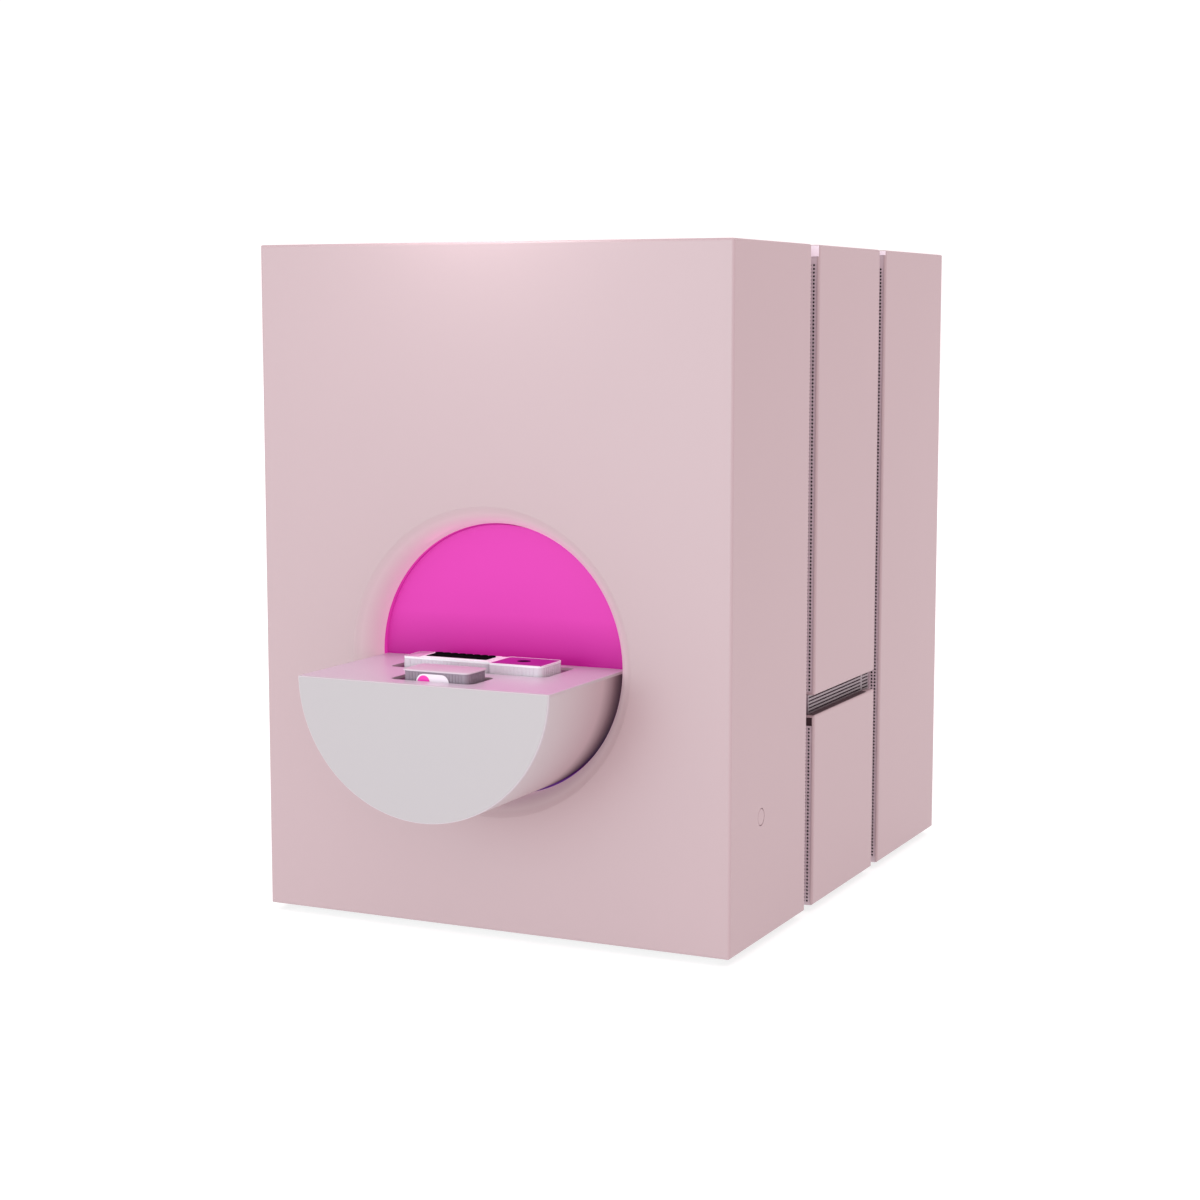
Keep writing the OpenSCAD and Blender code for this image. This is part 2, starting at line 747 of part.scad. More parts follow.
// The imaging casting: a box for the optics, a turret over the lens and the camera behind
module imaging_module() {
    color("dimgray") difference() {
        union() {
            round_block([-60, y_front + 42, z_optics_top], [60, y_front + 330, z_optics_top + 70], 10);
            rod_z([0, lens_y, z_optics_top + 69], lens_r + 6, 22);
            round_block([-38, y_front + 240, z_optics_top + 69], [38, y_front + 316, z_optics_top + 130], 6);
            for (i = [0 : 7])
                block([-34 + i * 9, y_front + 244, z_optics_top + 129],
                      [-31 + i * 9, y_front + 312, z_optics_top + 142]);
        }
        rod_z([0, lens_y, z_optics_top - 1], lens_r + lens_fit, 76);
    }
}

// The objective lens, which slides in the casting to focus
module focus_lens() {
    nose_r = 9;
    color("silver") {
        rod_z([0, lens_y, z_optics - 6], lens_r, 66);
        translate([0, lens_y, z_optics - 16]) cylinder(r1 = nose_r, r2 = lens_r, h = 10, $fn = round);
    }
}

pump_x = -180;
pump_y = y_front + 300;
piston_r = 5;
piston_fit = 0.05;
stroke = 30;

module syringe_pump() {
    reach = 16;
    color("whitesmoke") difference() {
        union() {
            round_block([pump_x - 45, pump_y, z_floor_in], [pump_x + 45, pump_y + 90, z_floor_in + 160], 6);
            block([pump_x - 12, pump_y - reach, z_floor_in + 72],
                  [pump_x + 12, pump_y + 1, z_floor_in + 84]);
            block([pump_x - 12, pump_y - reach, z_floor_in + 134],
                  [pump_x + 12, pump_y + 1, z_floor_in + 148]);
            rod_z([pump_x, pump_y - reach, z_floor_in + 68], 10, 84);
        }
        rod_z([pump_x, pump_y - reach, z_floor_in + 67], piston_r + piston_fit, 79);
    }
}

module pump_plunger() {
    reach = 16;
    color("silver") {
        rod_z([pump_x, pump_y - reach, z_floor_in + 28], piston_r, 78);
        rod_z([pump_x, pump_y - reach, z_floor_in + 26], 12, 5);
    }
}

// A valve manifold with a ring of hose ports
module valve_block() {
    ports = 8;
    x = 190;
    y = y_front + 330;
    color("whitesmoke") {
        round_block([x - 35, y - 35, z_floor_in], [x + 35, y + 35, z_floor_in + 90], 6);
        rod_z([x, y, z_floor_in + 89], 26, 12);
        for (i = [0 : ports - 1])
            rod_z([x + 18 * cos(i * 360 / ports), y + 18 * sin(i * 360 / ports), z_floor_in + 100], 2.5, 12);
    }
}

module computer_board() {
    low = z_floor_in + 12;
    y = y_front + 500;
    color("darkgreen") {
        block([50, y, low], [240, y + 170, low + 2]);
        for (px = [60, 230], py = [y + 10, y + 160]) rod_z([px, py, z_floor_in], 4, 12.5);
        block([90, y + 40, low + 1], [160, y + 110, low + 8]);
        for (i = [0 : 8]) block([92 + i * 8, y + 40, low + 7], [94 + i * 8, y + 110, low + 38]);
        for (i = [0 : 3]) block([185 + i * 10, y + 30, low + 1], [188 + i * 10, y + 150, low + 30]);
    }
}

module power_supply() {
    x = -250;
    y = y_front + 480;
    high = z_floor_in + 48;
    color("silver") difference() {
        block([x, y, z_floor_in], [x + 140, y_panel - 50, high]);
        for (i = [0 : 11]) block([x + 20 + i * 9, y + 20, high - 3], [x + 24 + i * 9, y + 110, high + 1]);
    }
}

// ---- Fans and connectors at the back ----

hub_r = 19;
boss_r = 17;
fan_bore_r = 57;
y_fan = y_panel - fan_t;
spindle_r = 2;

module fan_frame(side) {
    boss_t = 5;
    corner = fan_size / 2 - 7.5;
    color("dimgray") translate([side * fan_x, 0, fan_z]) {
        plate_y(y_fan, fan_t) difference() {
            square(fan_size, center = true);
            circle(r = fan_bore_r, $fn = 64);
            for (x = [-corner, corner], z = [-corner, corner]) translate([x, z]) circle(r = 2.2, $fn = round);
        }
        plate_y(y_panel - boss_t, boss_t - 1) difference() {
            union() {
                circle(r = boss_r, $fn = 48);
                for (turn = [30, 150, 270]) rotate(turn) translate([0, -2]) square([fan_bore_r + 1, 4]);
            }
            circle(r = spindle_r + 0.05, $fn = round);
        }
    }
}

// A hub with tilted blades, on a spindle that turns in the frame's boss
module fan_rotor(side) {
    blades = 7;
    hub_h = 15;
    blade_r = 54;
    blade_t = 1.6;
    chord = 17;
    tilt = 38;
    color("black") translate([side * fan_x, y_fan + 3, fan_z]) {
        rotate([-90, 0, 0]) cylinder(r = hub_r, h = hub_h, $fn = 48);
        rotate([-90, 0, 0]) cylinder(r = spindle_r, h = fan_t - 4.5, $fn = round);
        for (i = [0 : blades - 1]) rotate([0, i * 360 / blades, 0])
            translate([hub_r - 1, hub_h / 2, 0]) rotate([tilt, 0, 0])
                translate([0, -blade_t / 2, -chord / 2]) cube([blade_r - hub_r, blade_t, chord]);
    }
}

// The socket and switch share one moulding, flush in the back panel
flange_t = 1.5;
rocker_z = inlet_z + 16;
rocker_pin_r = 1.2;
well_w = 14;
well_tall = 22;
well_deep = 13;
y_plate = y_panel + sheet + flange_t;

module mains_inlet() {
    socket_z = inlet_z - 10;
    color("black") difference() {
        union() {
            block([inlet_x - inlet_w / 2 - 5, y_panel + sheet, inlet_z - inlet_h / 2 - 5],
                  [inlet_x + inlet_w / 2 + 5, y_plate, inlet_z + inlet_h / 2 + 5]);
            block([inlet_x - inlet_w / 2, y_panel - 32, inlet_z - inlet_h / 2],
                  [inlet_x + inlet_w / 2, y_panel + sheet + 0.5, inlet_z + inlet_h / 2]);
        }
        difference() {
            block([inlet_x - 12, y_plate - 18, socket_z - 13], [inlet_x + 12, y_plate + 1, socket_z + 4]);
            for (pin = [[-7, -6], [0, -3], [7, -6]])
                block([inlet_x + pin[0] - 1, y_plate - 19, socket_z + pin[1] - 2],
                      [inlet_x + pin[0] + 1, y_plate - 4, socket_z + pin[1] + 2]);
        }
        block([inlet_x - well_w / 2, y_plate - well_deep, rocker_z - well_tall / 2],
              [inlet_x + well_w / 2, y_plate + 1, rocker_z + well_tall / 2]);
        rod_x([inlet_x - well_w / 2 - 2, y_rocker, rocker_z], rocker_pin_r + 0.05, well_w + 4);
    }
}

y_rocker = y_plate - 4.5;

// A bent rocker on two short pins, drawn switched on
module mains_rocker() {
    width = well_w - 1;
    color("crimson") {
        translate([inlet_x - width / 2, y_rocker, rocker_z]) rotate([90, 0, 90]) linear_extrude(width)
            polygon([[-5, -3], [-5, 3], [0.5, 9.6], [4.2, 9.4], [2.6, 0], [1, -9.6], [-2.5, -9.4]]);
        rod_x([inlet_x - well_w / 2 - 1.5, y_rocker, rocker_z], rocker_pin_r, well_w + 3);
    }
}

// Two network sockets and four data sockets in one plate
module port_panel() {
    deep = 20;
    color("silver") difference() {
        union() {
            block([port_x - port_w / 2 - 5, y_panel + sheet, port_z - port_h / 2 - 5],
                  [port_x + port_w / 2 + 5, y_plate, port_z + port_h / 2 + 5]);
            block([port_x - port_w / 2, y_panel - deep, port_z - port_h / 2],
                  [port_x + port_w / 2, y_panel + sheet + 0.5, port_z + port_h / 2]);
        }
        for (x = [-48, -26]) block([port_x + x - 8, y_plate - 15, port_z - 7],
                                   [port_x + x + 8, y_plate + 1, port_z + 6]);
        for (x = [2, 22], z = [-9, 9]) difference() {
            block([port_x + x - 6.5, y_plate - 12, port_z + z - 3], [port_x + x + 6.5, y_plate + 1, port_z + z + 3]);
            block([port_x + x - 5.5, y_plate - 13, port_z + z - 1], [port_x + x + 5.5, y_plate - 2, port_z + z + 0.8]);
        }
        rod_y([port_x + 48, y_plate - 8, port_z], 4, 9);
    }
}

front_cover();
opening_collar();
middle_cover();
lower_panel(1);  // lower_panel_right
lower_panel(-1);  // lower_panel_left
rear_cover();
back_panel();
base_plate();
chassis();
vent_front_upper(1);  // vent_front_upper_right
vent_front_upper(-1);  // vent_front_upper_left
vent_front_lower(1);  // vent_front_lower_right
vent_front_lower(-1);  // vent_front_lower_left
vent_rear(1);  // vent_rear_right
vent_rear(-1);  // vent_rear_left
louvre(1);  // louvre_right
louvre(-1);  // louvre_left
foot(1, -1);  // foot_front_right
foot(-1, -1);  // foot_front_left
foot(1, 1);  // foot_rear_right
foot(-1, 1);  // foot_rear_left
power_button();
button_switch();
bay_liner();
bay_stands();
light_ring();
drawer_shell();
drawer_front();
deck_plate();
pocket(front_pocket_x, front_pocket_y);  // front_pocket
pocket(rear_pocket_x, rear_pocket_y);  // rear_pocket
bulkhead();
cell_tray();
cell_lid();
cartridge_body();
cartridge_frame();
well_block();
cartridge_film();
inner_rails();
outer_rails();
drawer_shelf();
drive_rack();
drive_pinion();
drive_motor();
optics_shelf();
imaging_module();
focus_lens();
syringe_pump();
pump_plunger();
valve_block();
computer_board();
power_supply();
fan_frame(1);  // fan_frame_right
fan_frame(-1);  // fan_frame_left
fan_rotor(1);  // fan_rotor_right
fan_rotor(-1);  // fan_rotor_left
mains_inlet();
mains_rocker();
port_panel();
back_screws();
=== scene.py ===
# %% [markdown]
# # A benchtop sequencer, dressed for the camera
# This lesson takes the engineer's model of a laboratory sequencer and gives it its looks: painted
# covers, a glowing opening and the clear consumables on its drawer. The engineer's solids come in
# as a fixed frame, in metres, with +Z up and the front towards -Y. Nothing in that frame is moved.

# %% Load the frame
import bpy
from math import radians
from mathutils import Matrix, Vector


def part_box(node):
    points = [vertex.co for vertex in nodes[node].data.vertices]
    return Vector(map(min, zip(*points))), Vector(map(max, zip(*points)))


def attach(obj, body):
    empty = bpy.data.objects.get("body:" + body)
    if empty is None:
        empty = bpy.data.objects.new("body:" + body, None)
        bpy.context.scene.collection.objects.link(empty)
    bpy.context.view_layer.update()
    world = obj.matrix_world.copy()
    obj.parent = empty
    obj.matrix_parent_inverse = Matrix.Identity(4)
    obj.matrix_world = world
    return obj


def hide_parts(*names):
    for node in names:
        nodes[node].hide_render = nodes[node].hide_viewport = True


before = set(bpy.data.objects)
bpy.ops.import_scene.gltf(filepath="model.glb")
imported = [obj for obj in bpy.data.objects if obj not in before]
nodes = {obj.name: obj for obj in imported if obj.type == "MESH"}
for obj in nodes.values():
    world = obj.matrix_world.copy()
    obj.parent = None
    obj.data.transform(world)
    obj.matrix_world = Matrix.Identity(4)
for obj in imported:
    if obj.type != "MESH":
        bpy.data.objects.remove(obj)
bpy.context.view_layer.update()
MM = 0.001
front_low, front_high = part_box("front_cover")
rear_low, rear_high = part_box("rear_cover")
FRONT_Y = front_low.y
MIDDLE = Vector((0, (front_low.y + rear_high.y) / 2, front_low.z))
HEIGHT = front_high.z - front_low.z
print("cabinet height", round(HEIGHT, 4), "m, pieces in the frame:", len(nodes))

# %% [markdown]
# ## The camera
# A product camera stands a few steps away with a long lens, so upright edges stay nearly parallel.
# Its place is given in heights of the cabinet, from the middle of the cabinet's underside, and its
# turn by two angles: how far it stands to the right, and how far it looks down.

# %% Camera
CAMERA_AZIMUTH = radians(25.34)
CAMERA_TILT = radians(6.99)
CAMERA_PLACE = Vector((1.5561, -3.3825, 0.8924)) * HEIGHT
SENSOR = 36.0
FOCAL = 2299.7 / 1200 * SENSOR

bpy.ops.object.select_all(action="DESELECT")
bpy.ops.object.camera_add(
    location=MIDDLE + CAMERA_PLACE,
    rotation=(radians(90) - CAMERA_TILT, 0, CAMERA_AZIMUTH),
)
camera = bpy.context.object
camera.data.sensor_width = SENSOR
camera.data.lens = FOCAL
bpy.context.scene.camera = camera
bpy.context.scene.view_settings.view_transform = "Standard"
print("lens", round(FOCAL, 1), "mm")

# %% [markdown]
# ## Studio: a white floor and soft light
# White goods are shown on a white floor that runs out of sight. A sky of even light fills every
# shadow, and the floor gives a little light of its own, so contact shadows stay faint. Soft lamps
# then set the front apart from the side, because a front and a side of one tone would look like
# one flat sheet.

# %% Floor and sky
FLOOR_SIZE = 60.0

bpy.ops.mesh.primitive_plane_add(size=FLOOR_SIZE, location=(0, 0, 0))
floor = bpy.context.object
floor.name = "studio_floor"
floor_finish = bpy.data.materials.new("studio_white")
floor_finish.use_nodes = True
floor_shader = floor_finish.node_tree.nodes["Principled BSDF"]
floor_shader.inputs["Base Color"].default_value = (0.42, 0.42, 0.42, 1)
floor_shader.inputs["Roughness"].default_value = 0.9
floor_shader.inputs["Specular IOR Level"].default_value = 0.1
floor_shader.inputs["Emission Color"].default_value = (1, 1, 1, 1)
floor_shader.inputs["Emission Strength"].default_value = 0.72
floor.data.materials.append(floor_finish)

sky = bpy.data.worlds.new("studio_sky")
sky.use_nodes = True
sky.node_tree.nodes["Background"].inputs["Color"].default_value = (1, 0.915, 0.925, 1)
sky.node_tree.nodes["Background"].inputs["Strength"].default_value = 1.15
bpy.context.scene.world = sky

# %% Soft lamps
def soft_lamp(name, place, target, size, watts, colour=(1, 1, 1)):
    """A square lamp that faces a point."""
    direction = Vector(target) - Vector(place)
    turn = direction.to_track_quat("-Z", "Y").to_euler()
    bpy.ops.object.light_add(type="AREA", location=place, rotation=turn)
    lamp = bpy.context.object
    lamp.name = name
    lamp.data.size = size
    lamp.data.energy = watts
    lamp.data.color = colour
    lamp.visible_camera = False
    return lamp

TOP_Z = front_high.z
BAY = Vector((0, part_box("bulkhead")[0].y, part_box("drawer_front")[1].z))
BROW = Vector((-0.01, FRONT_Y, TOP_Z))
soft_lamp("front_lamp", (-1.1, -4.0, 1.1), (0, 0, 0.25), 2.0, 31, (0.5, 1.0, 0.97))
soft_lamp("brow_lamp", BROW + Vector((0, -0.06, 0.15)), BROW - Vector((0, 0, 0.05)), 0.1, 0.35)
glow_lamp = soft_lamp("glow_lamp", BAY + Vector((0, -0.012, 0.06)), BAY + Vector((0, -1, 0)),
                      0.16, 0.10, (1.0, 0.30, 0.70))
soft_lamp("low_lamp", (-0.2, -2.6, 0.12), (0, FRONT_Y, 0.15), 1.2, 15)
glow_lamp.visible_glossy = False

# %% [markdown]
# ## Finishes
# Each finish is built from nodes on Object coordinates, so a pattern sits still on the piece. A
# helper lays a slow change of tone and a fine grain over a colour. It could be painted as a
# picture, but nodes have no resolution to run out of when the camera moves close.

# %% A painted or moulded surface
def blank_finish(name):
    """A new material, its node tree and its shader."""
    finish = bpy.data.materials.new(name)
    finish.use_nodes = True
    tree = finish.node_tree
    return finish, tree, tree.nodes["Principled BSDF"]

def noise(tree, scale, detail=2.0):
    """Noise on Object coordinates, which are metres here."""
    place = tree.nodes.new("ShaderNodeTexCoord")
    grain = tree.nodes.new("ShaderNodeTexNoise")
    grain.inputs["Scale"].default_value = scale
    grain.inputs["Detail"].default_value = detail
    tree.links.new(place.outputs["Object"], grain.inputs["Vector"])
    return grain

def tone(tree, shader, colour, change, scale):
    """Lets a colour drift slightly over the surface."""
    drift = tree.nodes.new("ShaderNodeMix")
    drift.data_type = "RGBA"
    drift.inputs[6].default_value = (*[c * (1 - change) for c in colour], 1)
    drift.inputs[7].default_value = (*[min(1, c * (1 + change)) for c in colour], 1)
    tree.links.new(noise(tree, scale).outputs["Fac"], drift.inputs["Factor"])
    tree.links.new(drift.outputs[2], shader.inputs["Base Color"])

def grain(tree, shader, scale, height, low, high):
    """A fine relief, with the roughness following it from low to high."""
    texture = noise(tree, scale, 3.0)
    bump = tree.nodes.new("ShaderNodeBump")
    bump.inputs["Strength"].default_value = 0.35
    bump.inputs["Distance"].default_value = height
    tree.links.new(texture.outputs["Fac"], bump.inputs["Height"])
    tree.links.new(bump.outputs["Normal"], shader.inputs["Normal"])
    span = tree.nodes.new("ShaderNodeMapRange")
    span.inputs["To Min"].default_value = low
    span.inputs["To Max"].default_value = high
    tree.links.new(texture.outputs["Fac"], span.inputs["Value"])
    tree.links.new(span.outputs["Result"], shader.inputs["Roughness"])

def painted(name, colour, rough, change=0.02, scale=3.0, grain_scale=1400, height=0.00004, metal=0.0):
    """Paint or moulded plastic: a colour, a slow drift and a fine grain."""
    finish, tree, shader = blank_finish(name)
    shader.inputs["Metallic"].default_value = metal
    tone(tree, shader, colour, change, scale)
    grain(tree, shader, grain_scale, height, rough - 0.05, rough + 0.05)
    return finish

# %% Brushed sheet and machined steel
def brushed(name, colour, rough, stretch=(4, 400, 400)):
    """Metal with fine lines along one way."""
    finish, tree, shader = blank_finish(name)
    shader.inputs["Metallic"].default_value = 1.0
    place = tree.nodes.new("ShaderNodeTexCoord")
    turn = tree.nodes.new("ShaderNodeMapping")
    turn.inputs["Scale"].default_value = stretch
    lines = tree.nodes.new("ShaderNodeTexNoise")
    lines.inputs["Scale"].default_value = 6
    tree.links.new(place.outputs["Object"], turn.inputs["Vector"])
    tree.links.new(turn.outputs["Vector"], lines.inputs["Vector"])
    span = tree.nodes.new("ShaderNodeMapRange")
    span.inputs["To Min"].default_value = rough - 0.1
    span.inputs["To Max"].default_value = rough + 0.12
    tree.links.new(lines.outputs["Fac"], span.inputs["Value"])
    tree.links.new(span.outputs["Result"], shader.inputs["Roughness"])
    tone(tree, shader, colour, 0.05, 12)
    return finish

# %% A colour that fades along one axis
def fade(tree, target, axis, stops):
    """Sends a colour to a shader's input. Stops are pairs of a place on the axis and a colour."""
    place = tree.nodes.new("ShaderNodeTexCoord")
    parts = tree.nodes.new("ShaderNodeSeparateXYZ")
    span = tree.nodes.new("ShaderNodeMapRange")
    first, last = stops[0][0], stops[-1][0]
    span.inputs["From Min"].default_value = first
    span.inputs["From Max"].default_value = last
    blend = tree.nodes.new("ShaderNodeValToRGB")
    ramp = blend.color_ramp
    ramp.elements[0].color = (*stops[0][1], 1)
    ramp.elements[1].color = (*stops[-1][1], 1)
    for at, colour in stops[1:-1]:
        ramp.elements.new((at - first) / (last - first)).color = (*colour, 1)
    tree.links.new(place.outputs["Object"], parts.inputs["Vector"])
    tree.links.new(parts.outputs[axis], span.inputs["Value"])
    tree.links.new(span.outputs["Result"], blend.inputs["Fac"])
    tree.links.new(blend.outputs["Color"], target)

def faded(name, axis, stops, rough):
    """A moulded finish whose colour fades along one axis."""
    finish, tree, shader = blank_finish(name)
    fade(tree, shader.inputs["Base Color"], axis, stops)
    grain(tree, shader, 1400, 0.00004, rough - 0.05, rough + 0.05)
    return finish

# %% Clear and smoky plastic
def clear(name, colour, alpha, rough):
    """See-through plastic, kept bright by letting straight light through."""
    finish, tree, shader = blank_finish(name)
    tone(tree, shader, colour, 0.04, 60)
    grain(tree, shader, 500, 0.00005, rough - 0.04, rough + 0.06)
    shader.inputs["Alpha"].default_value = alpha
    shader.inputs["IOR"].default_value = 1.49
    return finish

# %% The colours of this instrument
ROSE = (0.455, 0.326, 0.349)
cover_rose = painted("cover_rose", ROSE, 0.42)
# The pockets are darker than the deck: painted shade in the pockets.
pocket_shade_plum = painted("pocket_shade_plum", (0.33, 0.17, 0.27), 0.45)
groove_grey = painted("groove_grey", (0.36, 0.27, 0.30), 0.5)
vent_grey = painted("vent_grey", (0.60, 0.48, 0.53), 0.5)
black_plastic = painted("black_plastic", (0.012, 0.011, 0.013), 0.38)
white_plastic = painted("white_plastic", (0.86, 0.83, 0.86), 0.28)
foot_rubber = painted("foot_rubber", (0.03, 0.03, 0.032), 0.8, grain_scale=700, height=0.0001)
cast_grey = painted("cast_grey", (0.10, 0.105, 0.12), 0.5, grain_scale=900, height=0.0001)
board_green = painted("board_green", (0.015, 0.12, 0.04), 0.35)
rocker_red = painted("rocker_red", (0.42, 0.012, 0.012), 0.3)
film_magenta = painted("film_magenta", (0.36, 0.011, 0.25), 0.35)
hole_shade_plum = painted("hole_shade_plum", (0.03, 0.004, 0.024), 0.5)
liner_glow_plum = painted("liner_glow_plum", (0.22, 0.02, 0.13), 0.5)
well_black = painted("well_black", (0.005, 0.004, 0.005), 0.6)
black_shade_sheet = painted("black_shade_sheet", (0.004, 0.003, 0.004), 0.9)
ledge_shade_plum = painted("ledge_shade_plum", (0.09, 0.05, 0.06), 0.6)
pale_light_strip = painted("pale_light_strip", (0.84, 0.70, 0.79), 0.4)
label_white = painted("label_white", (0.84, 0.74, 0.82), 0.35)
spot_magenta = painted("spot_magenta", (0.86, 0.02, 0.42), 0.35)
lid_pink = painted("lid_pink", (0.60, 0.50, 0.57), 0.35)
cap_pale = painted("cap_pale", (0.60, 0.43, 0.54), 0.15)
zinc_sheet = brushed("zinc_sheet", (0.46, 0.45, 0.46), 0.42)
ground_steel = brushed("ground_steel", (0.66, 0.66, 0.67), 0.25, (400, 4, 400))
clear_wall = clear("clear_wall", (0.80, 0.72, 0.79), 0.80, 0.16)
smoky_wall = clear("smoky_wall", (0.29, 0.225, 0.28), 0.90, 0.25)
print("finishes made:", len(bpy.data.materials))

# %% Matte surfaces
MATTE = ((film_magenta, 0.08), (hole_shade_plum, 0.0), (lid_pink, 0.25), (well_black, 0.0),
         (black_shade_sheet, 0.0), (ledge_shade_plum, 0.2))
for finish, level in MATTE:
    finish.node_tree.nodes["Principled BSDF"].inputs["Specular IOR Level"].default_value = level

# %% Finishes that give light
# The light guide glows magenta above the deck and turns violet below it. The bay's liner carries
# the same glow as painted light, so it does not read black in its shade.
# The pale strips in the grooves glow a little: painted light falling in from above.
light_strip_shader = pale_light_strip.node_tree.nodes["Principled BSDF"]
light_strip_shader.inputs["Emission Color"].default_value = (1.0, 0.88, 0.98, 1)
light_strip_shader.inputs["Emission Strength"].default_value = 0.1

glow_guide, glow_tree, glow_shader = blank_finish("glow_guide")
tone(glow_tree, glow_shader, (0.06, 0.01, 0.09), 0.03, 20)
liner_glow_shader = liner_glow_plum.node_tree.nodes["Principled BSDF"]
for shader in (glow_shader, liner_glow_shader):
    fade(shader.id_data, shader.inputs["Emission Color"], "Z",
         [(BAY.z - 0.07, (0.05, 0.015, 0.14)), (BAY.z, (0.50, 0.02, 0.27))])
    shader.inputs["Emission Strength"].default_value = 1.0

# %% Finishes that fade
# Shade, glow, reflection and highlights are painted into these finishes, so they move with their pieces.
shell_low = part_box("drawer_shell")[0]
slot_low, slot_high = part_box("louvre_right")
DECK_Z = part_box("deck_plate")[1].z
BOARD_Y = shell_low.y - 4 * MM
# The drawer front is lighter behind its front face: a painted highlight on its top edge.
drawer_white = faded("drawer_white", "Y", [
    (BOARD_Y + 0.1 * MM, (0.42, 0.380, 0.398)),
    (BOARD_Y + 0.4 * MM, (0.52, 0.46, 0.50))], 0.4)
deck_top = faded("deck_top", "Z", [
    (DECK_Z - 0.6 * MM, (0.485, 0.40, 0.43)),
    (DECK_Z - 0.2 * MM, (0.60, 0.475, 0.58))], 0.3)
# The drawer's shell turns rose and then nearly black towards the opening: painted magenta reflection and
# painted shade.
shell_fade = faded("shell_fade", "Y", [
    (shell_low.y, (0.515, 0.45, 0.47)),
    (FRONT_Y - 0.02, (0.50, 0.36, 0.39)),
    (FRONT_Y + 0.006, (0.26, 0.17, 0.19)),
    (FRONT_Y + 0.026, (0.02, 0.012, 0.016))], 0.4)
# The bulkhead is darker towards the deck: painted shade where it meets the deck.
bulkhead_magenta = faded("bulkhead_magenta", "Z", [
    (DECK_Z, (0.48, 0.006, 0.265)),
    (DECK_Z + 0.05, (0.655, 0.033, 0.395))], 0.38)
bulkhead_shader = bulkhead_magenta.node_tree.nodes["Principled BSDF"]
bulkhead_shader.inputs["Specular IOR Level"].default_value = 0.25
# The louvre goes dark towards the bottom of the slot: painted shade.
louvre_grey = faded("louvre_grey", "Z", [
    (slot_low.z, (0.08, 0.05, 0.06)),
    (slot_high.z, (0.33, 0.255, 0.29))], 0.4)

collar_rose = painted("collar_rose", ROSE, 0.42)
collar_shader = collar_rose.node_tree.nodes["Principled BSDF"]
# The flare gives light that grows towards the throat: painted pink light from the magenta glow, and painted
# light that lifts its shade.
fade(collar_rose.node_tree, collar_shader.inputs["Emission Color"], "Y", [
    (FRONT_Y, (0.03, 0.027, 0.028)),
    (FRONT_Y + 0.004, (0.15, 0.13, 0.135)),
    (FRONT_Y + 0.033, (0.44, 0.26, 0.33))])
collar_shader.inputs["Emission Strength"].default_value = 1.0

# %% Dress the engineer's pieces
dress = {
    shell_fade: ["drawer_shell"],
    collar_rose: ["opening_collar"],
    cover_rose: ["front_cover", "middle_cover", "rear_cover", "lower_panel_right",
                 "lower_panel_left", "power_button"],
    drawer_white: ["drawer_front"],
    deck_top: ["deck_plate"],
    pocket_shade_plum: ["front_pocket", "rear_pocket"],
    bulkhead_magenta: ["bulkhead"],
    groove_grey: ["chassis"],
    vent_grey: [n for n in nodes if n.startswith("vent_")],
    louvre_grey: ["louvre_right", "louvre_left"],
    liner_glow_plum: ["bay_liner"],
    black_plastic: ["button_switch", "mains_inlet", "fan_frame_right", "fan_frame_left",
                    "fan_rotor_right", "fan_rotor_left"],
    well_black: ["well_block"],
    white_plastic: ["cartridge_frame", "syringe_pump", "valve_block"],
    foot_rubber: [n for n in nodes if n.startswith("foot_")],
    cast_grey: ["drive_motor", "imaging_module"],
    board_green: ["computer_board"],
    rocker_red: ["mains_rocker"],
    film_magenta: ["cartridge_film"],
    lid_pink: ["cell_lid"],
    clear_wall: ["cartridge_body"],
    smoky_wall: ["cell_tray"],
    glow_guide: ["light_ring"],
    zinc_sheet: ["back_panel", "base_plate", "drawer_shelf", "optics_shelf", "power_supply",
                 "bay_stands"],
    ground_steel: ["inner_rails", "outer_rails", "drive_rack", "drive_pinion", "focus_lens",
                   "pump_plunger", "back_screws", "port_panel"],
}
for finish, names in dress.items():
    for name in names:
        nodes[name].data.materials.clear()
        nodes[name].data.materials.append(finish)
undressed = sorted(set(nodes) - {name for names in dress.values() for name in names})
print("pieces with no finish:", undressed)

# %% [markdown]
# ## Working by hand, in code
# New pieces are modelled as by hand: a primitive is set in place, then faces and edges are picked
# and worked in edit mode. The picking is done by a rule about where a face or an edge lies, so it
# still finds them when a size changes.

# %% Picking and shaping helpers
def leave_edit():
    """Back to object mode, with nothing selected."""
    if bpy.context.object and bpy.context.object.mode != "OBJECT":
        bpy.ops.object.mode_set(mode="OBJECT")
    bpy.ops.object.select_all(action="DESELECT")

def keep_place(piece, name):
    """Names a piece and puts its place into its mesh."""
    piece.name = name
    piece.data.name = name
    bpy.ops.object.transform_apply(location=True, rotation=True, scale=True)
    return piece

def box_piece(name, low, high):
    """A box from one corner to the opposite one."""
    leave_edit()
    low, high = Vector(low), Vector(high)
    bpy.ops.mesh.primitive_cube_add(size=1, location=(low + high) / 2)
    bpy.context.object.scale = high - low
    return keep_place(bpy.context.object, name)

def pick_faces(piece, rule):
    """Edit mode, with the faces chosen that the rule accepts."""
    bpy.ops.object.mode_set(mode="EDIT")
    bpy.ops.mesh.select_mode(type="FACE")
    bpy.ops.mesh.select_all(action="DESELECT")
    bpy.ops.object.mode_set(mode="OBJECT")
    for face in piece.data.polygons:
        face.select = rule(face)
    bpy.ops.object.mode_set(mode="EDIT")

